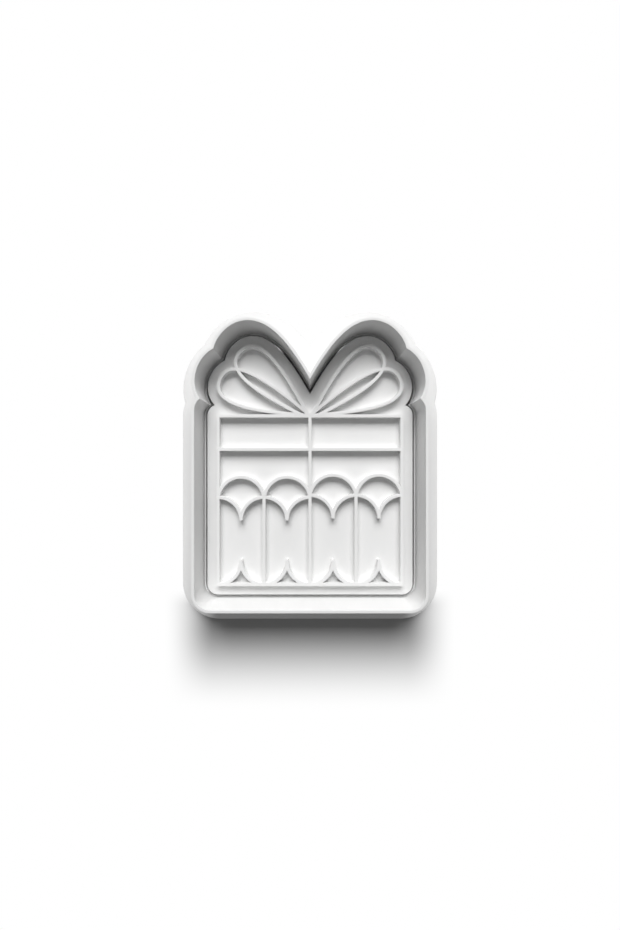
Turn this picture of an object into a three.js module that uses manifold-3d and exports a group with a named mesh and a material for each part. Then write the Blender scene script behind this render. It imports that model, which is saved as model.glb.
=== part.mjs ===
// Cookie cutter with its embossing stamp, in the form of a wrapped box with a bow.
// Both pieces are one-piece prints in white plastic. They lie on the table as a set: the cutter on its
// base ring with the cutting edge up, and the stamp inside it with the raised drawing up.
// Millimetres, +Z up. The origin is on the table, under the middle of the cutter.

import * as THREE from 'three';
import { mergeVertices } from 'three/addons/utils/BufferGeometryUtils.js';
import Module from 'manifold-3d';

// Drawing: the box, whose base line lies along Y = 0
const LINE_WIDTH = 0.9;
const BOX_WIDTH = 51.9; // over the outer faces of the frame lines
const BOX_HEIGHT = 47.6;
const LID_DEPTH = 9.7; // top of the box to the middle of the lid line

// Drawing: the row of scallops on the wrapping
const BAY_COUNT = 4;
const CREST_DROP = 7.7; // middle of the lid line to the crest of an arch
const ARCH_RISE = 5.6; // hanging tip of a scallop to the centre of the arch over it
const RIGHT_LIFT = 0.55; // the right-hand scallops are drawn this much higher

// Drawing: the bow, four loops of one leaf shape
const LOOP_LENGTH = 26.9; // knot to the far end, on the middle of the line
const LOOP_KNOT_HANDLE = 13.9; // how far the nearly straight part by the knot reaches
const LOOP_KNOT_SPREAD = 4.55; // how far that part opens to either side
const LOOP_TIP_SPREAD = 7.85; // how full the round end is
const UPPER_LOOP_TILT = 44.3; // degrees over the top of the box
const UPPER_LOOP_SINK = 1.33; // knot below the top of the box
const LOWER_LOOP_TILT = 21.8;
const LOWER_LOOP_SINK = 0.3;

// Stamp
const STAMP_MARGIN = 3; // plate outside the drawing
const PLATE_THICKNESS = 4.6;
const RELIEF_HEIGHT = 2.2;

// Cutter
const STAMP_CLEARANCE = 0.8; // gap all round between the stamp and the base ring
const LEDGE_WIDTH = 0.3; // base ring inside the blade
const BLADE_THICKNESS = 0.85;
const BLADE_HEIGHT = 11; // over the base ring
const BASE_REACH = 5.5; // base ring outside the blade
const BASE_THICKNESS = 3;

// Facets
const ARC_SEGMENTS = 7; // half the sides of one drawn arc
const LOOP_SEGMENTS = 30; // sides from the knot of a loop to its far end
const KNOT_SEGMENTS = 6; // sides of the quarter turn round the knot

// Run of a cut past the faces that it opens, and of a raised line into the plate
const OVERRUN = 1;

// Distances that the outlines stand outside the drawing
const PLATE_GROWTH = STAMP_MARGIN;
const THROAT_GROWTH = PLATE_GROWTH + STAMP_CLEARANCE;
const BLADE_INSIDE_GROWTH = THROAT_GROWTH + LEDGE_WIDTH;
const BLADE_OUTSIDE_GROWTH = BLADE_INSIDE_GROWTH + BLADE_THICKNESS;
const BASE_GROWTH = BLADE_OUTSIDE_GROWTH + BASE_REACH;

const HALF_LINE = LINE_WIDTH / 2;
const HALF_BOX = BOX_WIDTH / 2;
const LID_HEIGHT = BOX_HEIGHT - LID_DEPTH;
const BAY_WIDTH = (BOX_WIDTH - LINE_WIDTH) / BAY_COUNT;
const SCALLOP_RADIUS = BAY_WIDTH / 2;
const EDGE_HEIGHT = BASE_THICKNESS + BLADE_HEIGHT;

const wasm = await Module();
wasm.setup();

// Solid between two heights over a closed outline.
function slab(shape, bottom, top) {
  const geometry = new THREE.ExtrudeGeometry(shape, {
    depth: top - bottom,
    bevelEnabled: false,
    curveSegments: ARC_SEGMENTS,
  });
  geometry.translate(0, 0, bottom);
  geometry.deleteAttribute('normal');
  geometry.deleteAttribute('uv');
  const welded = mergeVertices(geometry);
  return new wasm.Manifold(new wasm.Mesh({
    numProp: 3,
    vertProperties: new Float32Array(welded.attributes.position.array),
    triVerts: new Uint32Array(welded.index.array),
  }));
}

function joined(solids) {
  return solids.reduce((whole, next) => whole.add(next));
}

function rectangle(left, bottom, right, top) {
  const shape = new THREE.Shape();
  shape.moveTo(left, bottom);
  shape.lineTo(right, bottom);
  shape.lineTo(right, top);
  shape.lineTo(left, top);
  shape.closePath();
  return shape;
}

// The box grown evenly on all sides, so its corners become round.
function grownBox(growth) {
  const quarter = Math.PI / 2;
  const shape = new THREE.Shape();
  shape.absarc(HALF_BOX, BOX_HEIGHT, growth, 0, quarter);
  shape.absarc(-HALF_BOX, BOX_HEIGHT, growth, quarter, 2 * quarter);
  shape.absarc(-HALF_BOX, 0, growth, 2 * quarter, 3 * quarter);
  shape.absarc(HALF_BOX, 0, growth, 3 * quarter, 4 * quarter);
  shape.closePath();
  return shape;
}

// One side of a loop along +X, from its knot to its far end. The other side mirrors it.
const loopSide = new THREE.CubicBezierCurve(
  new THREE.Vector2(0, 0),
  new THREE.Vector2(LOOP_KNOT_HANDLE, LOOP_KNOT_SPREAD),
  new THREE.Vector2(LOOP_LENGTH, LOOP_TIP_SPREAD),
  new THREE.Vector2(LOOP_LENGTH, 0),
);

// Point of that side moved square to it by a distance, outwards when the distance is positive.
function besideLoop(along, distance) {
  const tangent = loopSide.getTangent(along);
  const outward = new THREE.Vector2(-tangent.y, tangent.x);
  return loopSide.getPoint(along).addScaledVector(outward, distance);
}

// Where the moved side meets the loop's middle: at the knot itself, or further on for an inner outline.
function loopStart(distance) {
  if (distance >= 0) {
    return 0;
  }
  let inside = 0;
  let outside = 0.5;
  while (outside - inside > 1e-6) {
    const middle = (inside + outside) / 2;
    if (besideLoop(middle, distance).y < 0) {
      inside = middle;
    } else {
      outside = middle;
    }
  }
  return outside;
}

// Outline of a loop moved outwards or inwards from the middle of its line.
function loopPoints(distance) {
  const half = [];
  if (distance > 0) {
    const tangent = loopSide.getTangent(0);
    const opening = Math.PI / 2 + Math.atan2(tangent.y, tangent.x);
    for (let i = 0; i < KNOT_SEGMENTS; i += 1) {
      const angle = Math.PI + ((opening - Math.PI) * i) / KNOT_SEGMENTS;
      half.push(new THREE.Vector2(Math.cos(angle), Math.sin(angle)).multiplyScalar(distance));
    }
  }
  const start = loopStart(distance);
  for (let i = 0; i <= LOOP_SEGMENTS; i += 1) {
    half.push(besideLoop(start + ((1 - start) * i) / LOOP_SEGMENTS, distance));
  }
  const otherHalf = half.slice(1, -1).reverse();
  return [...half, ...otherHalf.map((point) => new THREE.Vector2(point.x, -point.y))];
}

const loops = [
  { tilt: UPPER_LOOP_TILT, sink: UPPER_LOOP_SINK },
  { tilt: LOWER_LOOP_TILT, sink: LOWER_LOOP_SINK },
].flatMap((loop) => [{ ...loop, side: 1 }, { ...loop, side: -1 }]);

function grownLoop(loop, distance) {
  const knot = new THREE.Vector2(0, BOX_HEIGHT - loop.sink);
  const points = loopPoints(distance).map((point) => {
    const placed = point.rotateAround(new THREE.Vector2(), THREE.MathUtils.degToRad(loop.tilt)).add(knot);
    placed.x *= loop.side;
    return placed;
  });
  return new THREE.Shape(points);
}

// Solid between two heights over the whole drawing, grown evenly.
function grownDrawing(growth, bottom, top) {
  const outlines = [grownBox(growth), ...loops.map((loop) => grownLoop(loop, HALF_LINE + growth))];
  return joined(outlines.map((outline) => slab(outline, bottom, top)));
}

// Base ring and blade in one. The stamp passes through the throat, and the blade stands back behind a ledge.
function makeCutter() {
  const base = grownDrawing(BASE_GROWTH, 0, BASE_THICKNESS);
  const blade = grownDrawing(BLADE_OUTSIDE_GROWTH, 0, EDGE_HEIGHT);
  const throat = grownDrawing(THROAT_GROWTH, -OVERRUN, BASE_THICKNESS + OVERRUN);
  const well = grownDrawing(BLADE_INSIDE_GROWTH, BASE_THICKNESS, EDGE_HEIGHT + OVERRUN);
  return base.add(blade).subtract(throat).subtract(well);
}

function raised(shape) {
  return slab(shape, PLATE_THICKNESS - OVERRUN, PLATE_THICKNESS + RELIEF_HEIGHT);
}

function arcLine(x, y, from, to) {
  const shape = new THREE.Shape();
  shape.absarc(x, y, SCALLOP_RADIUS + HALF_LINE, from, to, false);
  shape.absarc(x, y, SCALLOP_RADIUS - HALF_LINE, to, from, true);
  shape.closePath();
  return shape;
}

const insideFrame = rectangle(-HALF_BOX + LINE_WIDTH, LINE_WIDTH, HALF_BOX - LINE_WIDTH, BOX_HEIGHT - LINE_WIDTH);

// Frame of the box with its lid line and the ribbon down its middle.
function makeBoxLines() {
  const frame = raised(rectangle(-HALF_BOX, 0, HALF_BOX, BOX_HEIGHT)).subtract(raised(insideFrame));
  const lid = raised(rectangle(-HALF_BOX, LID_HEIGHT - HALF_LINE, HALF_BOX, LID_HEIGHT + HALF_LINE));
  const ribbon = raised(rectangle(-HALF_LINE, 0, HALF_LINE, BOX_HEIGHT));
  return joined([frame, lid, ribbon]);
}

// Scallops of one bay: the arch, the two arcs that hang to a tip, the two that flare into the base line,
// and the straight lines down both edges of the bay.
function makeBay(index) {
  const quarter = Math.PI / 2;
  const left = -HALF_BOX + HALF_LINE + index * BAY_WIDTH;
  const middle = left + SCALLOP_RADIUS;
  const right = left + BAY_WIDTH;
  const lift = middle > 0 ? RIGHT_LIFT : 0;
  const archCentre = LID_HEIGHT - CREST_DROP - SCALLOP_RADIUS + lift;
  const tip = archCentre - ARCH_RISE;
  const shoulder = tip + SCALLOP_RADIUS;
  const flare = HALF_LINE + SCALLOP_RADIUS;
  const foot = Math.asin((shoulder - archCentre) / SCALLOP_RADIUS);
  const edges = [left, right].map((x) => rectangle(x - HALF_LINE, 0, x + HALF_LINE, shoulder));
  const lines = [
    arcLine(middle, archCentre, foot, Math.PI - foot),
    arcLine(left, tip, 0, quarter),
    arcLine(right, tip, quarter, 2 * quarter),
    arcLine(left, flare, -quarter, 0),
    arcLine(right, flare, 2 * quarter, 3 * quarter),
  ];
  const drawn = joined([...edges, ...lines].map(raised));
  return drawn.intersect(raised(rectangle(left - HALF_LINE, 0, right + HALF_LINE, BOX_HEIGHT)));
}

// Lines of the bow, which stop at the top line of the box.
function makeBow() {
  const lines = loops.map((loop) => {
    const outer = raised(grownLoop(loop, HALF_LINE));
    return outer.subtract(raised(grownLoop(loop, -HALF_LINE)));
  });
  return joined(lines).subtract(raised(insideFrame));
}

function makeStamp() {
  const plate = grownDrawing(PLATE_GROWTH, 0, PLATE_THICKNESS);
  const bays = Array.from({ length: BAY_COUNT }, (_, index) => makeBay(index));
  return joined([plate, makeBoxLines(), makeBow(), ...bays]);
}

function namedMesh(name, solid, colour) {
  const { vertProperties, triVerts } = solid.getMesh();
  const geometry = new THREE.BufferGeometry();
  geometry.setAttribute('position', new THREE.BufferAttribute(vertProperties, 3));
  geometry.setIndex(new THREE.BufferAttribute(triVerts, 1));
  geometry.computeVertexNormals();
  const material = new THREE.MeshStandardMaterial({
    color: colour,
    roughness: 0.6,
    metalness: 0,
    flatShading: true,
  });
  const mesh = new THREE.Mesh(geometry, material);
  mesh.name = name;
  return mesh;
}

const set = new THREE.Group();
set.add(namedMesh('outline_cutter', makeCutter(), 0xf1f1ef));
set.add(namedMesh('embossing_stamp', makeStamp(), 0xf3f3f1));

// The drawing is centred under its outline, so that the origin lies in the middle of the set.
const reach = new THREE.Box3().setFromObject(set);
set.position.y = -(reach.min.y + reach.max.y) / 2;

export default set;
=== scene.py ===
"""Dresses a printed cookie cutter and its embossing stamp, lying as a set and seen from straight above.

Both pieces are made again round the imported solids, from the same sizes, with finer arcs, softened edges
and the finish of a matte white print. Lengths are metres and heights count from the table.
"""

import logging
import math
from collections.abc import Sequence
from dataclasses import dataclass, field
from enum import Enum

import bmesh
import bpy
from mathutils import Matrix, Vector


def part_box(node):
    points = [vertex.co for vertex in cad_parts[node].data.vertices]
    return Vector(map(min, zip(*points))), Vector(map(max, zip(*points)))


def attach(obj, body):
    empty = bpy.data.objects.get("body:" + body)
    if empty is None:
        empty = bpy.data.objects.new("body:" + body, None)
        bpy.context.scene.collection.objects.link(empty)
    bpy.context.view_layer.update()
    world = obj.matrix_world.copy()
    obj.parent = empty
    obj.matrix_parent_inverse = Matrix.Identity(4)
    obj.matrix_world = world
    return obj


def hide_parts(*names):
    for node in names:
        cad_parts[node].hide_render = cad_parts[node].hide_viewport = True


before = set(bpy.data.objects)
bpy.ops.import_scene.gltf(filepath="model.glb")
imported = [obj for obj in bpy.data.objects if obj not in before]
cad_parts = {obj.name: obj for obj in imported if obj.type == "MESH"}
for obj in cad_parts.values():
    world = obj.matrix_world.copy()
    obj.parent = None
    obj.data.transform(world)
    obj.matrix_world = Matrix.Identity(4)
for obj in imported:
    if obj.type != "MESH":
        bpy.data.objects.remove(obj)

MM = 0.001
QUARTER = math.pi / 2
WHITE = (1.0, 1.0, 1.0, 1.0)
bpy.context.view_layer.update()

log = logging.getLogger("cutter_set")


class Join(Enum):
    """What one solid does to another where they meet."""

    WELD = "UNION"
    CUT = "DIFFERENCE"


class Side(Enum):
    """Halves of the drawing, by the sign of their X."""

    LEFT = -1
    RIGHT = 1


class LoopTier(Enum):
    """The two pairs of bow loops, by their tilt in degrees and how far their knot sinks into the box."""

    UPPER = (44.3, 1.33 * MM)
    LOWER = (21.8, 0.3 * MM)

    @property
    def tilt(self) -> float:
        """Angle over the top of the box, in radians."""
        return math.radians(self.value[0])

    @property
    def sink(self) -> float:
        """Depth of the knot below the top of the box."""
        return self.value[1]


def blended(vectors: Sequence[Vector], weights: Sequence[float]) -> Vector:
    """Adds up flat vectors, each times its weight."""
    return sum((vector * weight for vector, weight in zip(vectors, weights)), Vector((0.0, 0.0)))


@dataclass(frozen=True)
class Drawing:
    """The wrapped box and its bow, from which every outline of the set is grown."""

    base_y: float
    line_width: float = 0.9 * MM
    box_width: float = 51.9 * MM
    box_height: float = 47.6 * MM
    lid_depth: float = 9.7 * MM
    bay_count: int = 4
    crest_drop: float = 7.7 * MM
    arch_rise: float = 5.6 * MM
    right_lift: float = 0.55 * MM
    line_overlap: float = 0.2 * MM
    flare_tip_radius: float = 0.42 * MM
    flare_tip_rise: float = 0.1 * MM
    loop_length: float = 26.9 * MM
    loop_knot_handle: float = 13.9 * MM
    loop_knot_spread: float = 4.55 * MM
    loop_tip_spread: float = 7.85 * MM
    corner_steps: int = 24
    knot_steps: int = 14
    loop_steps: int = 72
    overlap_steps: int = 4

    @property
    def half_line(self) -> float:
        """Half the width of a drawn line."""
        return self.line_width / 2

    @property
    def half_box(self) -> float:
        """Middle of the drawing to the outer face of the box's frame."""
        return self.box_width / 2

    @property
    def top_y(self) -> float:
        """Top edge of the box."""
        return self.base_y + self.box_height

    @property
    def lid_y(self) -> float:
        """Middle of the lid line."""
        return self.top_y - self.lid_depth

    @property
    def bay_width(self) -> float:
        """Distance between the lines that part the scallops."""
        return (self.box_width - self.line_width) / self.bay_count

    @property
    def scallop_radius(self) -> float:
        """Radius of every scallop arc, on the middle of its line."""
        return self.bay_width / 2

    @property
    def arch_y(self) -> float:
        """Centre of the left-hand arches."""
        return self.lid_y - self.crest_drop - self.scallop_radius

    def shoulder_y(self, side: Side) -> float:
        """Y where a line between the scallops of one half ends, just inside the arcs that spring from it.

        Args:
            side: Half of the drawing.

        Returns:
            The Y of its end.
        """
        lift = self.right_lift if side is Side.RIGHT else 0.0
        return self.arch_y - self.arch_rise + self.scallop_radius + lift + self.line_overlap

    def loop_side(self, along: float, distance: float = 0.0) -> Vector:
        """Point on or beside one side of a loop that lies along +X with its knot at the origin.

        Args:
            along: Share of the way from the knot, 0, to the far end, 1. Past 1 it comes back on the other
                side.
            distance: How far outside the middle of the line.

        Returns:
            The point.
        """
        if along > 1:
            mirrored = self.loop_side(2 - along, distance)
            return Vector((mirrored.x, -mirrored.y))
        handles = (
            Vector((0.0, 0.0)),
            Vector((self.loop_knot_handle, self.loop_knot_spread)),
            Vector((self.loop_length, self.loop_tip_spread)),
            Vector((self.loop_length, 0.0)),
        )
        rest = 1 - along
        weights = (rest**3, 3 * rest**2 * along, 3 * rest * along**2, along**3)
        slopes = (rest**2, 2 * rest * along, along**2)
        steps = [after - before for before, after in zip(handles, handles[1:])]
        tangent = blended(steps, slopes).normalized()
        return blended(handles, weights) + Vector((-tangent.y, tangent.x)) * distance

    def on_bow(self, point: Vector, tier: LoopTier, side: Side) -> Vector:
        """Carries a point of a loop along +X to the loop's place on the bow.

        Args:
            point: Point with the knot at the origin.
            tier: Upper or lower loop.
            side: Half of the bow.

        Returns:
            The point on the drawing.
        """
        turned = Vector((
            point.x * math.cos(tier.tilt) - point.y * math.sin(tier.tilt),
            point.x * math.sin(tier.tilt) + point.y * math.cos(tier.tilt),
        ))
        return Vector((turned.x * side.value, turned.y + self.top_y - tier.sink))

    def loop_outline(self, tier: LoopTier, side: Side, distance: float) -> list[Vector]:
        """Closed outline round a loop, with a round turn at the knot.

        Args:
            tier: Upper or lower loop.
            side: Half of the bow.
            distance: How far outside the middle of the line, over 0.

        Returns:
            Points in order round the loop.
        """
        opening = QUARTER + math.atan2(self.loop_knot_spread, self.loop_knot_handle)
        half = []
        for i in range(self.knot_steps):
            angle = math.pi + (opening - math.pi) * i / self.knot_steps
            half.append(Vector((math.cos(angle), math.sin(angle))) * distance)
        half += [self.loop_side(i / self.loop_steps, distance) for i in range(self.loop_steps + 1)]
        back = [Vector((p.x, -p.y)) for p in reversed(half[1:-1])]
        return [self.on_bow(p, tier, side) for p in half + back]

    def loop_path(self, tier: LoopTier, side: Side, upper: bool) -> list[Vector]:
        """Middle of one side of a loop, from the top line of the box to just past the far end.

        Args:
            tier: Upper or lower loop.
            side: Half of the bow.
            upper: Whether it is the side away from the box.

        Returns:
            Points in order along the line.
        """
        flip = 1 if upper else -1
        path = []
        for i in range(self.loop_steps + self.overlap_steps + 1):
            point = self.loop_side(i / self.loop_steps)
            path.append(self.on_bow(Vector((point.x, point.y * flip)), tier, side))
        return [p for p in path if p.y > self.top_y - self.half_line]

    def box_outline(self, growth: float) -> list[Vector]:
        """The box grown evenly on all sides, with round corners.

        Args:
            growth: How far outside the frame, over 0.

        Returns:
            Points in order round the box.
        """
        corners = (
            (self.half_box, self.top_y),
            (-self.half_box, self.top_y),
            (-self.half_box, self.base_y),
            (self.half_box, self.base_y),
        )
        points = []
        for turn, corner in enumerate(corners):
            for i in range(self.corner_steps + 1):
                angle = (turn + i / self.corner_steps) * QUARTER
                points.append(Vector(corner) + Vector((math.cos(angle), math.sin(angle))) * growth)
        return points

    def outlines(self, growth: float) -> list[list[Vector]]:
        """Outlines that together cover the whole drawing, grown evenly.

        Args:
            growth: How far outside the drawing, over 0.

        Returns:
            One closed outline for the box and one for each loop.
        """
        loops = [
            self.loop_outline(tier, side, growth + self.half_line) for tier in LoopTier for side in Side
        ]
        return [self.box_outline(growth), *loops]


Profile = list[tuple[float, float]]


def bend(
    height: float, growth: float, radius: float, start: float, stop: float, steps: int = 5
) -> Profile:
    """Round turn of an upright profile.

    Args:
        height: Height of the turn's centre.
        growth: Distance of the turn's centre outside the drawing.
        radius: Radius of the turn.
        start: Angle at its start, in degrees, from straight out towards straight up.
        stop: Angle at its end, in degrees.
        steps: Sides of the turn.

    Returns:
        Pairs of height and growth.
    """
    turn = []
    for i in range(steps + 1):
        angle = math.radians(start + (stop - start) * i / steps)
        turn.append((height + radius * math.sin(angle), growth + radius * math.cos(angle)))
    return turn


def slab(growth: float, thickness: float, radius: float) -> Profile:
    """Upright profile of a flat slab on the table, with both of its edges softened.

    Args:
        growth: Distance of its side outside the drawing.
        thickness: Height of the slab.
        radius: Radius of its edges.

    Returns:
        Pairs of height and growth, from the lowest up.
    """
    inner = growth - radius
    return bend(radius, inner, radius, -90, 0) + bend(thickness - radius, inner, radius, 0, 90)


def linked(name: str, data: bpy.types.ID) -> bpy.types.Object:
    """Puts data into the scene as an object at the origin.

    Args:
        name: Name of the object.
        data: Mesh, curve, light or camera.

    Returns:
        The object.
    """
    thing = bpy.data.objects.new(name, data)
    bpy.context.scene.collection.objects.link(thing)
    return thing


def stacked(name: str, rings: list[list[Vector]]) -> bpy.types.Object:
    """Closes a stack of like outlines, from the lowest up, into one solid.

    Args:
        name: Name of the object.
        rings: Outlines with as many points each.

    Returns:
        The solid, with its faces outwards.
    """
    lowest = rings[0]
    count = len(lowest)
    # An outline that runs clockwise is turned round, so that its faces look out
    area = sum(lowest[i - 1].x * lowest[i].y - lowest[i].x * lowest[i - 1].y for i in range(count))
    order = range(count) if area > 0 else range(count - 1, -1, -1)
    vertices = [ring[i] for ring in rings for i in order]
    last = (len(rings) - 1) * count
    faces = [list(range(count - 1, -1, -1)), list(range(last, last + count))]
    for low in range(0, last, count):
        for i in range(count):
            j = (i + 1) % count
            faces.append([low + i, low + j, low + count + j, low + count + i])
    mesh = bpy.data.meshes.new(name)
    mesh.from_pydata(vertices, [], faces)
    return linked(name, mesh)


def grown(name: str, drawing: Drawing, profile: Profile) -> list[bpy.types.Object]:
    """Solids that together have an upright profile all round the drawing.

    Args:
        name: Name of the objects.
        drawing: The drawing to grow.
        profile: Pairs of height and growth, from the lowest up.

    Returns:
        One solid for each outline of the drawing.
    """
    levels = [(height, drawing.outlines(growth)) for height, growth in profile]
    solids = []
    for index in range(len(levels[0][1])):
        rings = [
            [Vector((p.x, p.y, height)) for p in outlines[index]] for height, outlines in levels
        ]
        solids.append(stacked(name, rings))
    return solids


def plain_mesh(thing: bpy.types.Object) -> bpy.types.Mesh:
    """Bakes an object's modifiers into a mesh of its own.

    Args:
        thing: Object with modifiers.

    Returns:
        The mesh, which no object uses yet.
    """
    depsgraph = bpy.context.evaluated_depsgraph_get()
    return bpy.data.meshes.new_from_object(thing.evaluated_get(depsgraph))


def worked(body: bpy.types.Object, tools: list[bpy.types.Object], join: Join) -> bpy.types.Object:
    """Welds tools onto a solid or cuts them from it, and clears them away.

    Args:
        body: The solid.
        tools: Solids that go into it.
        join: Whether they are welded or cut.

    Returns:
        The body with its new mesh.
    """
    bench = bpy.data.collections.new("bench")
    bpy.context.scene.collection.children.link(bench)
    for tool in tools:
        bench.objects.link(tool)
    modifier = body.modifiers.new(join.name, "BOOLEAN")
    modifier.operation = join.value
    modifier.solver = "MANIFOLD"
    modifier.operand_type = "COLLECTION"
    modifier.collection = bench
    blank = body.data
    shaped = plain_mesh(body)
    body.modifiers.clear()
    body.data = shaped
    bpy.data.meshes.remove(blank)
    for tool in tools:
        bpy.data.meshes.remove(tool.data)
    bpy.data.collections.remove(bench)
    return body


def loose_solids(mesh: bpy.types.Mesh) -> list[bpy.types.Object]:
    """Splits a mesh into an object for each of its separate solids.

    Args:
        mesh: Mesh of closed solids that may cross each other. It is removed.

    Returns:
        The solids.
    """
    whole = bmesh.new()
    whole.from_mesh(mesh)
    taken = set()
    solids = []
    for first in whole.faces:
        if first in taken:
            continue
        found = {first}
        waiting = [first]
        while waiting:
            for corner in waiting.pop().verts:
                fresh = [face for face in corner.link_faces if face not in found]
                found.update(fresh)
                waiting += fresh
        taken |= found
        ordered = sorted(found, key=lambda item: item.index)
        corners = sorted({v for face in ordered for v in face.verts}, key=lambda item: item.index)
        place = {v: i for i, v in enumerate(corners)}
        faces = [[place[v] for v in face.verts] for face in ordered]
        part = bpy.data.meshes.new("line")
        part.from_pydata([v.co for v in corners], [], faces)
        solids.append(linked("line", part))
    whole.free()
    bpy.data.meshes.remove(mesh)
    return solids


def smoothed(thing: bpy.types.Object, crease: float = math.radians(12)) -> None:
    """Welds stray points and shades round walls smooth, with creases kept.

    Args:
        thing: The finished piece.
        crease: Least angle between faces that stays sharp.
    """
    near = 0.0005 * MM
    flat = math.radians(0.05)
    most_corners = 4
    shape = bmesh.new()
    shape.from_mesh(thing.data)
    bmesh.ops.remove_doubles(shape, verts=shape.verts, dist=near)
    bmesh.ops.dissolve_degenerate(shape, edges=shape.edges, dist=near)
    bmesh.ops.dissolve_limit(shape, angle_limit=flat, verts=shape.verts, edges=shape.edges)
    bmesh.ops.triangulate(shape, faces=[f for f in shape.faces if len(f.verts) > most_corners])
    shape.to_mesh(thing.data)
    shape.free()
    thing.data.shade_smooth()
    thing.data.set_sharp_from_angle(angle=crease)


class NodeBench:
    """Lays out the nodes of one tree from left to right."""

    SPACING = 200

    def __init__(self, tree: bpy.types.NodeTree) -> None:
        """Takes the tree that the nodes go into."""
        self.tree = tree

    def add(self, kind: str, **settings: object) -> bpy.types.Node:
        """Adds a node.

        Args:
            kind: Blender's name of the node type.
            settings: The node's own properties.

        Returns:
            The node.
        """
        node = self.tree.nodes.new(kind)
        node.location.x = self.SPACING * len(self.tree.nodes)
        for name, value in settings.items():
            setattr(node, name, value)
        return node

    def feed(self, socket: bpy.types.NodeSocket, value: object) -> None:
        """Links an output to a socket, or sets the socket's own value.

        Args:
            socket: The input to feed.
            value: An output socket, or a plain value.
        """
        if isinstance(value, bpy.types.NodeSocket):
            self.tree.links.new(value, socket)
        else:
            socket.default_value = value

    def math(self, operation: str, first: object, second: object = 0.0) -> bpy.types.NodeSocket:
        """Works out a number from one or two others.

        Args:
            operation: Blender's name of the operation.
            first: An output socket or a number.
            second: An output socket or a number.

        Returns:
            The output socket of the result.
        """
        node = self.add("ShaderNodeMath", operation=operation)
        self.feed(node.inputs[0], first)
        self.feed(node.inputs[1], second)
        return node.outputs[0]


@dataclass(frozen=True)
class RaisedLine:
    """Cross-section of every line of the drawing."""

    width: float
    foot: float
    top: float
    edge_radius: float = 0.07 * MM
    edge_steps: int = 4


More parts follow.
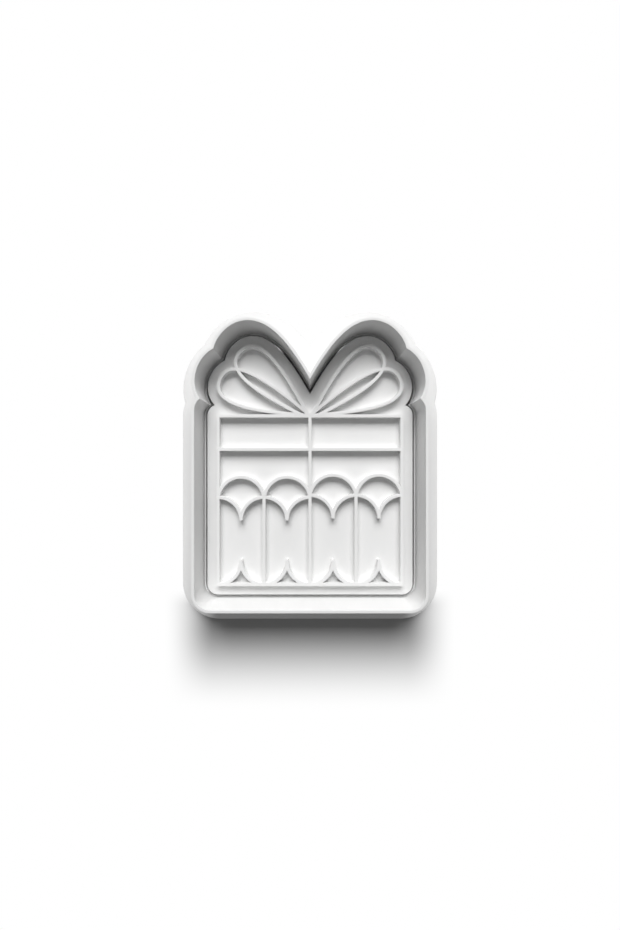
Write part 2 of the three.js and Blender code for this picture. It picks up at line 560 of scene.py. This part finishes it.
class LineTree(NodeBench):
    """A Geometry Nodes tree that raises lines with softened edges along paths."""

    def __init__(self, name: str, line: RaisedLine, plastic: bpy.types.Material) -> None:
        """Starts the tree with the inputs that every raised line has.

        Args:
            name: Name of the tree.
            line: Cross-section of the lines.
            plastic: Finish of the lines.
        """
        super().__init__(bpy.data.node_groups.new(name, "GeometryNodeTree"))
        self.values: dict[str, object] = {}
        self.tree.interface.new_socket("Paths", in_out="INPUT", socket_type="NodeSocketGeometry")
        self.tree.interface.new_socket("Lines", in_out="OUTPUT", socket_type="NodeSocketGeometry")
        self.source = self.add("NodeGroupInput")
        self.width = self.size("Line Width", line.width)
        self.foot = self.size("Line Foot", line.foot)
        self.top = self.size("Line Top", line.top)
        self.edge_radius = self.size("Edge Radius", line.edge_radius)
        self.edge_steps = self.size("Edge Steps", line.edge_steps, "NodeSocketInt")
        self.plastic = self.size("Plastic", plastic, "NodeSocketMaterial")

    def size(self, name: str, value: object, kind: str = "NodeSocketFloat") -> bpy.types.NodeSocket:
        """Adds a named input.

        Args:
            name: Name of the input.
            value: What the modifier sets it to.
            kind: Type of its socket.

        Returns:
            The output socket that carries it into the tree.
        """
        made = self.tree.interface.new_socket(name, in_out="INPUT", socket_type=kind)
        self.values[made.identifier] = value
        return self.source.outputs[name]

    def raise_along(self, paths: bpy.types.NodeSocket, *others: bpy.types.NodeSocket) -> None:
        """Sweeps the cross-section along the paths and ends the tree.

        Args:
            paths: Output socket that carries the paths.
            others: Output sockets of solids that join the lines.
        """
        section = self.add("GeometryNodeCurvePrimitiveQuadrilateral")
        self.feed(section.inputs["Width"], self.width)
        self.feed(section.inputs["Height"], self.depth())
        soft = self.add("GeometryNodeFilletCurve", mode="POLY")
        self.feed(soft.inputs["Curve"], section.outputs["Curve"])
        self.feed(soft.inputs["Count"], self.edge_steps)
        self.feed(soft.inputs["Radius"], self.edge_radius)
        # A profile's Y points down once it is swept along a path on the table
        lift = self.add("ShaderNodeCombineXYZ")
        self.feed(lift.inputs["Y"], self.math("MULTIPLY", self.middle(), -1.0))
        placed = self.add("GeometryNodeTransform")
        self.feed(placed.inputs["Geometry"], soft.outputs["Curve"])
        self.feed(placed.inputs["Translation"], lift.outputs["Vector"])
        swept = self.add("GeometryNodeCurveToMesh")
        self.feed(swept.inputs["Curve"], paths)
        self.feed(swept.inputs["Profile Curve"], placed.outputs["Geometry"])
        self.feed(swept.inputs["Fill Caps"], True)
        real = self.add("GeometryNodeRealizeInstances")
        self.feed(real.inputs["Geometry"], self.joined([swept.outputs["Mesh"], *others]))
        dressed = self.add("GeometryNodeSetMaterial")
        self.feed(dressed.inputs["Geometry"], real.outputs["Geometry"])
        self.feed(dressed.inputs["Material"], self.plastic)
        self.feed(self.add("NodeGroupOutput").inputs["Lines"], dressed.outputs["Geometry"])

    def depth(self) -> bpy.types.NodeSocket:
        """Height of a line from foot to top."""
        return self.math("SUBTRACT", self.top, self.foot)

    def middle(self) -> bpy.types.NodeSocket:
        """Height halfway between foot and top of a line."""
        return self.math("MULTIPLY", self.math("ADD", self.top, self.foot), 0.5)

    def joined(self, shapes: list[bpy.types.NodeSocket]) -> bpy.types.NodeSocket:
        """Joins several geometries into one.

        Args:
            shapes: Their output sockets.

        Returns:
            The output socket of the whole.
        """
        node = self.add("GeometryNodeJoinGeometry")
        for shape in shapes:
            self.feed(node.inputs["Geometry"], shape)
        return node.outputs["Geometry"]

    def grow_on(self, carrier: bpy.types.Object) -> list[bpy.types.Object]:
        """Runs the tree on an object and clears the object away.

        Args:
            carrier: Curve or mesh object that holds the tree's paths, or nothing.

        Returns:
            The raised lines as separate solids.
        """
        modifier = carrier.modifiers.new(self.tree.name, "NODES")
        modifier.node_group = self.tree
        for identifier, value in self.values.items():
            modifier[identifier] = value
        mesh = plain_mesh(carrier)
        carrier.modifiers.clear()
        bpy.data.objects.remove(carrier)
        return loose_solids(mesh)


class ScallopTree(LineTree):
    """Raises the row of scallops: one bay of arcs, repeated along the box."""

    def __init__(self, drawing: Drawing, line: RaisedLine, plastic: bpy.types.Material) -> None:
        """Lays out the whole tree.

        Args:
            drawing: Sizes of the scallops.
            line: Cross-section of the lines.
            plastic: Finish of the lines.
        """
        super().__init__("scallop_row", line, plastic)
        radius = drawing.scallop_radius
        self.radius = self.size("Arc Radius", radius)
        self.resolution = self.size("Arc Points", drawing.corner_steps + 1, "NodeSocketInt")
        self.count = self.size("Bay Count", drawing.bay_count, "NodeSocketInt")
        self.pitch = self.size("Bay Width", drawing.bay_width)
        self.first = self.size("First Bay", -drawing.half_box + drawing.half_line + radius)
        self.arch = self.size("Arch Centre", drawing.arch_y)
        self.tip = self.size("Hanging Tip", drawing.arch_y - drawing.arch_rise)
        self.flare = self.size("Flare Centre", drawing.base_y + drawing.half_line + radius)
        self.lift = self.size("Right Lift", drawing.right_lift)
        self.end_radius = self.size("Flare Tip Radius", drawing.flare_tip_radius)
        self.end_rise = self.size("Flare Tip Rise", drawing.flare_tip_rise)
        spring = math.asin((radius - drawing.arch_rise) / radius)
        hanging = [
            self.arc(self.arch, 0.0, spring, math.pi - 2 * spring),
            self.arc(self.tip, -1.0, 0.0, QUARTER),
            self.arc(self.tip, 1.0, QUARTER, QUARTER),
        ]
        flares = [
            self.arc(self.flare, -1.0, -QUARTER, QUARTER),
            self.arc(self.flare, 1.0, math.pi, QUARTER),
        ]
        row = self.joined([self.lifted(self.repeated(hanging)), self.repeated(flares)])
        real = self.add("GeometryNodeRealizeInstances")
        self.feed(real.inputs["Geometry"], row)
        self.raise_along(real.outputs["Geometry"], self.repeated([self.flare_end()]))

    def flare_end(self) -> bpy.types.NodeSocket:
        """Adds the round end of a flared point.

        Returns:
            The output socket of its solid.
        """
        post = self.add("GeometryNodeMeshCylinder")
        self.feed(post.inputs["Vertices"], self.resolution)
        self.feed(post.inputs["Radius"], self.end_radius)
        self.feed(post.inputs["Depth"], self.depth())
        place = self.add("ShaderNodeCombineXYZ")
        self.feed(place.inputs["Y"], self.math("ADD", self.flare, self.end_rise))
        self.feed(place.inputs["Z"], self.middle())
        moved = self.add("GeometryNodeTransform")
        self.feed(moved.inputs["Geometry"], post.outputs["Mesh"])
        self.feed(moved.inputs["Translation"], place.outputs["Vector"])
        return moved.outputs["Geometry"]

    def arc(
        self, centre: bpy.types.NodeSocket, side: float, start: float, sweep: float
    ) -> bpy.types.NodeSocket:
        """Adds one arc of a bay.

        Args:
            centre: Y of its centre.
            side: X of its centre, in radii from the middle of the bay.
            start: Angle where it starts, in radians.
            sweep: Angle that it covers, in radians.

        Returns:
            The output socket of its curve.
        """
        curve = self.add("GeometryNodeCurveArc", mode="RADIUS")
        self.feed(curve.inputs["Resolution"], self.resolution)
        self.feed(curve.inputs["Radius"], self.radius)
        self.feed(curve.inputs["Start Angle"], start)
        self.feed(curve.inputs["Sweep Angle"], sweep)
        place = self.add("ShaderNodeCombineXYZ")
        self.feed(place.inputs["X"], self.math("MULTIPLY", self.radius, side))
        self.feed(place.inputs["Y"], centre)
        moved = self.add("GeometryNodeTransform")
        self.feed(moved.inputs["Geometry"], curve.outputs["Curve"])
        self.feed(moved.inputs["Translation"], place.outputs["Vector"])
        return moved.outputs["Geometry"]

    def repeated(self, shapes: list[bpy.types.NodeSocket]) -> bpy.types.NodeSocket:
        """Repeats shapes in every bay.

        Args:
            shapes: Curves or solids of one bay, round its middle.

        Returns:
            The output socket of the instances.
        """
        start = self.add("ShaderNodeCombineXYZ")
        self.feed(start.inputs["X"], self.first)
        step = self.add("ShaderNodeCombineXYZ")
        self.feed(step.inputs["X"], self.pitch)
        bays = self.add("GeometryNodeMeshLine", mode="OFFSET")
        self.feed(bays.inputs["Count"], self.count)
        self.feed(bays.inputs["Start Location"], start.outputs["Vector"])
        self.feed(bays.inputs["Offset"], step.outputs["Vector"])
        copies = self.add("GeometryNodeInstanceOnPoints")
        self.feed(copies.inputs["Points"], bays.outputs["Mesh"])
        self.feed(copies.inputs["Instance"], self.joined(shapes))
        return copies.outputs["Instances"]

    def lifted(self, instances: bpy.types.NodeSocket) -> bpy.types.NodeSocket:
        """Lifts the bays of the right half.

        Args:
            instances: Bays in order from the left.

        Returns:
            The output socket of the lifted bays.
        """
        index = self.add("GeometryNodeInputIndex").outputs["Index"]
        half = self.math("MULTIPLY", self.count, 0.5)
        on_right = self.math("SUBTRACT", 1.0, self.math("LESS_THAN", index, half))
        rise = self.add("ShaderNodeCombineXYZ")
        self.feed(rise.inputs["Y"], self.lift)
        moved = self.add("GeometryNodeTranslateInstances")
        self.feed(moved.inputs["Instances"], instances)
        self.feed(moved.inputs["Selection"], on_right)
        self.feed(moved.inputs["Translation"], rise.outputs["Vector"])
        return moved.outputs["Instances"]


@dataclass(frozen=True)
class PrintedPlastic:
    """Matte white plastic, laid down in thin layers with fine strokes on its flat faces."""

    name: str
    light: tuple[float, float, float, float] = (0.812, 0.812, 0.808, 1.0)
    dark: tuple[float, float, float, float] = (0.788, 0.788, 0.785, 1.0)
    mottle_size: float = 9 * MM
    mottle_detail: float = 4.0
    layer_height: float = 0.2 * MM
    stroke_width: float = 0.42 * MM
    stroke_share: float = 0.5
    groove_depth: float = 0.006 * MM
    grain_size: float = 0.08 * MM
    grain_detail: float = 2.0
    grain_share: float = 0.5
    smooth_roughness: float = 0.52
    rough_roughness: float = 0.66
    refraction: float = 1.46
    gloss: float = 0.4

    def material(self) -> bpy.types.Material:
        """Builds the shader.

        Returns:
            The material.
        """
        material = bpy.data.materials.new(self.name)
        material.use_nodes = True
        material.node_tree.nodes.clear()
        bench = NodeBench(material.node_tree)
        coordinates = bench.add("ShaderNodeTexCoord")
        place = coordinates.outputs["Object"]
        axes = bench.add("ShaderNodeSeparateXYZ")
        bench.feed(axes.inputs["Vector"], place)
        facing = bench.add("ShaderNodeSeparateXYZ")
        bench.feed(facing.inputs["Vector"], coordinates.outputs["Normal"])
        level = bench.math("ABSOLUTE", facing.outputs["Z"])
        upright = bench.math("SUBTRACT", 1.0, level)

        layers = self.ripple(bench, axes.outputs["Z"], self.layer_height)
        across = bench.math("ADD", axes.outputs["X"], axes.outputs["Y"])
        slant = bench.math("MULTIPLY", across, math.sqrt(0.5))
        strokes = self.ripple(bench, slant, self.stroke_width)
        grain = self.noise(bench, place, self.grain_size, self.grain_detail)
        walls = bench.math("MULTIPLY", layers, upright)
        flats = bench.math("MULTIPLY", bench.math("MULTIPLY", strokes, level), self.stroke_share)
        specks = bench.math("MULTIPLY", grain, self.grain_share)
        relief = bench.math("ADD", bench.math("ADD", walls, flats), specks)
        bump = bench.add("ShaderNodeBump")
        bench.feed(bump.inputs["Distance"], self.groove_depth)
        bench.feed(bump.inputs["Height"], relief)

        mottle = self.noise(bench, place, self.mottle_size, self.mottle_detail)
        colour = bench.add("ShaderNodeMix", data_type="RGBA")
        bench.feed(colour.inputs["Factor"], mottle)
        bench.feed(colour.inputs["A"], self.dark)
        bench.feed(colour.inputs["B"], self.light)
        sheen = bench.add("ShaderNodeMapRange")
        bench.feed(sheen.inputs["Value"], grain)
        bench.feed(sheen.inputs["To Min"], self.smooth_roughness)
        bench.feed(sheen.inputs["To Max"], self.rough_roughness)

        shader = bench.add("ShaderNodeBsdfPrincipled")
        bench.feed(shader.inputs["Base Color"], colour.outputs["Result"])
        bench.feed(shader.inputs["Roughness"], sheen.outputs["Result"])
        bench.feed(shader.inputs["Normal"], bump.outputs["Normal"])
        bench.feed(shader.inputs["IOR"], self.refraction)
        bench.feed(shader.inputs["Specular IOR Level"], self.gloss)
        bench.feed(bench.add("ShaderNodeOutputMaterial").inputs["Surface"], shader.outputs["BSDF"])
        return material

    def ripple(
        self, bench: NodeBench, distance: bpy.types.NodeSocket, period: float
    ) -> bpy.types.NodeSocket:
        """Waves from 0 to 1 along a direction.

        Args:
            bench: Tree that gets the nodes.
            distance: Distance along the direction.
            period: Length of one wave.

        Returns:
            The output socket of the wave.
        """
        angle = bench.math("MULTIPLY", distance, 2 * math.pi / period)
        wave = bench.math("MULTIPLY", bench.math("COSINE", angle), 0.5)
        return bench.math("ADD", wave, 0.5)

    def noise(
        self, bench: NodeBench, place: bpy.types.NodeSocket, size: float, detail: float
    ) -> bpy.types.NodeSocket:
        """Soft noise from 0 to 1.

        Args:
            bench: Tree that gets the nodes.
            place: Coordinates.
            size: Width of its patches.
            detail: How many finer layers it has.

        Returns:
            The output socket of the noise.
        """
        node = bench.add("ShaderNodeTexNoise")
        bench.feed(node.inputs["Vector"], place)
        bench.feed(node.inputs["Scale"], 1 / size)
        bench.feed(node.inputs["Detail"], detail)
        return node.outputs["Fac"]


@dataclass
class EmbossingStamp:
    """The flat plate with the raised drawing, one print."""

    drawing: Drawing
    plastic: bpy.types.Material
    node: str = "embossing_stamp"
    body: str = "stamp"
    slot: str = "stamp_plastic"
    margin: float = 3.0 * MM
    thickness: float = 4.6 * MM
    relief: float = 2.2 * MM
    line_sink: float = 0.6 * MM
    edge_radius: float = 0.08 * MM
    piece: bpy.types.Object = field(init=False)

    def build(self) -> None:
        """Makes the plate, raises the drawing on it and dresses the piece."""
        line = RaisedLine(
            self.drawing.line_width, self.thickness - self.line_sink, self.thickness + self.relief
        )
        plate = self.plate()
        lines = LineTree("drawn_lines", line, self.plastic)
        lines.raise_along(lines.source.outputs["Paths"])
        scallops = ScallopTree(self.drawing, line, self.plastic)
        raised = lines.grow_on(self.paths())
        raised += scallops.grow_on(linked("scallops", bpy.data.meshes.new("scallops")))
        self.piece = worked(plate, raised, Join.WELD)
        self.dress()

    def plate(self) -> bpy.types.Object:
        """Makes the plate with softened edges.

        Returns:
            The plate.
        """
        profile = slab(self.margin, self.thickness, self.edge_radius)
        first, *others = grown("printed_stamp", self.drawing, profile)
        return worked(first, others, Join.WELD)

    def paths(self) -> bpy.types.Object:
        """Draws the middles of the box's straight lines and of the bow's loops.

        Returns:
            A curve object with a spline for each line.
        """
        d = self.drawing
        left = -d.half_box + d.half_line
        bottom = d.base_y + d.half_line
        top = d.top_y - d.half_line
        strokes = [
            [(-d.half_box, bottom), (d.half_box, bottom)],
            [(-d.half_box, d.lid_y), (d.half_box, d.lid_y)],
            [(-d.half_box, top), (d.half_box, top)],
        ]
        # The sides and the ribbon reach the top of the box, the lines between them end at the scallops
        for index in range(d.bay_count + 1):
            x = left + index * d.bay_width
            inside = 0 < index < d.bay_count and 2 * index != d.bay_count
            end = d.shoulder_y(Side.RIGHT if x > 0 else Side.LEFT) if inside else d.top_y
            strokes.append([(x, d.base_y), (x, end)])
        for tier in LoopTier:
            for side in Side:
                strokes += [d.loop_path(tier, side, upper) for upper in (True, False)]
        curve = bpy.data.curves.new("drawing", "CURVE")
        curve.dimensions = "3D"
        for stroke in strokes:
            spline = curve.splines.new("POLY")
            spline.points.add(len(stroke) - 1)
            for point, place in zip(spline.points, stroke):
                point.co = (place[0], place[1], 0.0, 1.0)
        return linked("drawing", curve)

    def dress(self) -> None:
        """Finishes the stamp's surface and fastens it to its body."""
        finished(self.piece, self.plastic, self.body, self.node)


@dataclass
class OutlineCutter:
    """The base ring with the upright blade, one print."""

    drawing: Drawing
    plastic: bpy.types.Material
    node: str = "outline_cutter"
    body: str = "cutter"
    slot: str = "cutter_plastic"
    throat_growth: float = 3.8 * MM
    ledge_width: float = 0.3 * MM
    blade_thickness: float = 0.85 * MM
    blade_height: float = 11.0 * MM
    base_reach: float = 5.47 * MM
    base_thickness: float = 3.0 * MM
    rim_radius: float = 0.1 * MM
    ledge_radius: float = 0.1 * MM
    base_radius: float = 0.2 * MM
    overrun: float = 1.0 * MM
    piece: bpy.types.Object = field(init=False)

    def build(self) -> None:
        """Makes the ring and blade, opens them and dresses the piece."""
        first, *others = self.ring()
        body = worked(first, others + self.blade(), Join.WELD)
        self.piece = worked(body, self.throat() + self.well(), Join.CUT)
        self.dress()

    @property
    def inside(self) -> float:
        """Inner face of the blade, outside the drawing."""
        return self.throat_growth + self.ledge_width

    @property
    def outside(self) -> float:
        """Outer face of the blade, outside the drawing."""
        return self.inside + self.blade_thickness

    @property
    def edge_height(self) -> float:
        """Height of the cutting edge."""
        return self.base_thickness + self.blade_height

    def ring(self) -> list[bpy.types.Object]:
        """Makes the base ring, still filled."""
        profile = slab(self.outside + self.base_reach, self.base_thickness, self.base_radius)
        return grown("printed_cutter", self.drawing, profile)

    def blade(self) -> list[bpy.types.Object]:
        """Makes the blade, still filled, from inside the ring up to its softened edge.

        Returns:
            Its solids.
        """
        radius = self.rim_radius
        foot = [(self.base_thickness / 2, self.outside)]
        edge = bend(self.edge_height - radius, self.outside - radius, radius, 0, 90)
        return grown("blade", self.drawing, foot + edge)

    def throat(self) -> list[bpy.types.Object]:
        """Makes the cut through the base ring that the stamp passes through.

        Returns:
            Its solids.
        """
        radius = self.ledge_radius
        outer = self.throat_growth + radius
        under = [(-self.overrun, outer)]
        foot = bend(radius, outer, radius, 270, 180)
        ledge = bend(self.base_thickness - radius, outer, radius, 180, 90)
        over = [(self.base_thickness + radius, outer)]
        return grown("throat", self.drawing, under + foot + ledge + over)

    def well(self) -> list[bpy.types.Object]:
        """Makes the cut inside the blade, flared at the softened edge.

        Returns:
            Its solids.
        """
        radius = self.rim_radius
        outer = self.inside + radius
        foot = [(self.base_thickness, self.inside)]
        edge = bend(self.edge_height - radius, outer, radius, 180, 90)
        over = [(self.edge_height + self.overrun, outer)]
        return grown("well", self.drawing, foot + edge + over)

    def dress(self) -> None:
        """Finishes the cutter's surface and fastens it to its body."""
        finished(self.piece, self.plastic, self.body, self.node)


def finished(
    piece: bpy.types.Object, plastic: bpy.types.Material, body: str, node: str
) -> None:
    """Shades a piece, gives it its finish and sets it on its body in the place of its solid.

    Args:
        piece: The piece.
        plastic: Its finish.
        body: Body that it moves with.
        node: Node that it stands for.
    """
    smoothed(piece)
    piece.data.materials.clear()
    piece.data.materials.append(plastic)
    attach(piece, body)
    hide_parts(node)


@dataclass
class Studio:
    """Pale floor with a painted shadow, one wide soft light from behind the bow, and a camera straight
    above.

    The floor is grey in front of the set, where the shadow falls, and under it: a painted shadow that
    deepens the cast one. It is seen white elsewhere. Each pair of lengths is where that painted grey starts
    to fade and where
    it ends: to the side, the front and the back of the shadow, and to the side and the back of the field
    under the set.
    """

    camera_height: float = 120 * MM
    camera_y: float = 0.085 * MM
    focal_pixels: float = 409.0
    long_side_pixels: float = 930.0
    sensor: float = 36.0
    nearest_seen: float = 1 * MM
    key_distance: float = 1.6
    key_elevation: float = math.radians(43)
    key_tall: float = math.radians(32)
    key_wide: float = math.radians(54)
    key_power: float = 32.5
    ambient: float = 0.16
    floor_size: float = 6.0
    floor_gap: float = 0.02 * MM
    # Grey of the floor for bounced light, and of the painted shadow where the floor is seen
    floor_and_painted_shadow_tone: float = 0.45
    shade_side: tuple[float, float] = (28 * MM, 43 * MM)
    shade_front: tuple[float, float] = (47.6 * MM, 72 * MM)
    shade_back: tuple[float, float] = (-41.5 * MM, -36 * MM)
    under_shade_side: tuple[float, float] = (30 * MM, 33 * MM)
    under_shade_back: tuple[float, float] = (32.5 * MM, 34.8 * MM)

    def build(self) -> None:
        """Makes the camera, the light, the world and the floor."""
        bpy.context.scene.view_settings.view_transform = "Standard"
        self.camera()
        self.key()
        self.world()
        self.floor()

    def camera(self) -> None:
        """Hangs the camera straight above the set."""
        data = bpy.data.cameras.new("camera")
        data.sensor_width = self.sensor
        data.lens = self.sensor * self.focal_pixels / self.long_side_pixels
        data.clip_start = self.nearest_seen
        camera = linked("camera", data)
        camera.location = (0.0, self.camera_y, self.camera_height)
        bpy.context.scene.camera = camera

    def key(self) -> None:
        """Hangs the wide soft light."""
        data = bpy.data.lights.new("key", "AREA")
        data.shape = "RECTANGLE"
        data.size = 2 * self.key_distance * math.cos(self.key_elevation) * math.tan(self.key_wide / 2)
        data.size_y = 2 * self.key_distance * math.tan(self.key_tall / 2)
        data.energy = self.key_power
        light = linked("key", data)
        towards = Vector((0.0, math.cos(self.key_elevation), math.sin(self.key_elevation)))
        light.location = towards * self.key_distance
        light.rotation_euler = (-towards).to_track_quat("-Z", "Y").to_euler()

    def seen(self, bench: NodeBench) -> bpy.types.NodeSocket:
        """Tells rays that show the background from rays that light the set.

        Args:
            bench: Tree that gets the nodes.

        Returns:
            The output socket, 1 for rays from the camera, in gloss or through glass.
        """
        path = bench.add("ShaderNodeLightPath")
        shown = bench.math("MAXIMUM", path.outputs["Is Camera Ray"], path.outputs["Is Glossy Ray"])
        return bench.math("MAXIMUM", shown, path.outputs["Is Transmission Ray"])

    def world(self) -> None:
        """Makes the even light from all sides, white where it is seen."""
        world = bpy.data.worlds.new("studio")
        bpy.context.scene.world = world
        world.use_nodes = True
        world.node_tree.nodes.clear()
        bench = NodeBench(world.node_tree)
        strength = bench.add("ShaderNodeMapRange")
        bench.feed(strength.inputs["Value"], self.seen(bench))
        bench.feed(strength.inputs["To Min"], self.ambient)
        background = bench.add("ShaderNodeBackground")
        bench.feed(background.inputs["Color"], WHITE)
        bench.feed(background.inputs["Strength"], strength.outputs["Result"])
        output = bench.add("ShaderNodeOutputWorld")
        bench.feed(output.inputs["Surface"], background.outputs["Background"])

    def floor(self) -> None:
        """Lays the floor under the set."""
        half = self.floor_size / 2
        corners = [(-half, -half), (half, -half), (half, half), (-half, half)]
        mesh = bpy.data.meshes.new("floor")
        mesh.from_pydata([(x, y, -self.floor_gap) for x, y in corners], [], [(0, 1, 2, 3)])
        mesh.materials.append(self.painted_shadow_floor())
        linked("floor", mesh)

    def painted_shadow_floor(self) -> bpy.types.Material:
        """Builds the floor's shader: a painted shadow, grey in front of and under the set, and seen to fade
        to white round it.

        Returns:
            The material.
        """
        material = bpy.data.materials.new("pale_floor")
        material.use_nodes = True
        material.node_tree.nodes.clear()
        bench = NodeBench(material.node_tree)
        place = bench.add("ShaderNodeSeparateXYZ")
        bench.feed(place.inputs["Vector"], bench.add("ShaderNodeTexCoord").outputs["Object"])
        aside = bench.math("ABSOLUTE", place.outputs["X"])
        behind = place.outputs["Y"]
        ahead = bench.math("MULTIPLY", behind, -1.0)
        shadow = self.fading(bench, aside, self.shade_side)
        under_shade_side = self.fading(bench, aside, self.under_shade_side)
        under_shade_back = self.fading(bench, behind, self.under_shade_back)
        under = bench.math("MULTIPLY", under_shade_side, under_shade_back)
        # The painted shade under the set widens to the painted shadow in front of it
        back = self.fading(bench, behind, self.shade_back)
        wider = bench.math("MULTIPLY", back, bench.math("SUBTRACT", shadow, under))
        front = self.fading(bench, ahead, self.shade_front)
        # Painted shadow: where the floor is seen grey, lit as usual, instead of white
        painted_shadow_mask = bench.math("MULTIPLY", bench.math("ADD", under, wider), front)
        white = bench.math("MULTIPLY", bench.math("SUBTRACT", 1.0, painted_shadow_mask), self.seen(bench))
        grey = bench.add("ShaderNodeBsdfDiffuse")
        bench.feed(grey.inputs["Color"], (self.floor_and_painted_shadow_tone, self.floor_and_painted_shadow_tone, self.floor_and_painted_shadow_tone, 1.0))
        bright = bench.add("ShaderNodeEmission")
        bench.feed(bright.inputs["Color"], WHITE)
        surface = bench.add("ShaderNodeMixShader")
        bench.feed(surface.inputs[0], white)
        bench.feed(surface.inputs[1], grey.outputs["BSDF"])
        bench.feed(surface.inputs[2], bright.outputs["Emission"])
        bench.feed(bench.add("ShaderNodeOutputMaterial").inputs["Surface"], surface.outputs["Shader"])
        return material

    def fading(
        self, bench: NodeBench, distance: bpy.types.NodeSocket, reach: tuple[float, float]
    ) -> bpy.types.NodeSocket:
        """Falls softly from 1 to 0 along a direction.

        Args:
            bench: Tree that gets the nodes.
            distance: Distance along the direction.
            reach: Where it starts to fall and where it is 0.

        Returns:
            The output socket of the share.
        """
        node = bench.add("ShaderNodeMapRange", interpolation_type="SMOOTHSTEP")
        bench.feed(node.inputs["Value"], distance)
        bench.feed(node.inputs["From Min"], reach[0])
        bench.feed(node.inputs["From Max"], reach[1])
        bench.feed(node.inputs["To Min"], 1.0)
        bench.feed(node.inputs["To Max"], 0.0)
        return node.outputs["Result"]


def main() -> None:
    """Builds the studio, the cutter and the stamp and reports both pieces."""
    logging.basicConfig(level=logging.INFO, format="%(name)s: %(message)s")
    Studio().build()
    low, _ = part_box("embossing_stamp")
    drawing = Drawing(base_y=low.y + EmbossingStamp.margin)
    makers = (
        OutlineCutter(drawing, PrintedPlastic("cutter_print").material()),
        EmbossingStamp(drawing, PrintedPlastic("stamp_print").material()),
    )
    for maker in makers:
        maker.build()
        faces = len(maker.piece.data.polygons)
        log.info("%s stands for %s on %s, %d faces", maker.piece.name, maker.node, maker.body, faces)


if __name__ == "__main__":
    main()
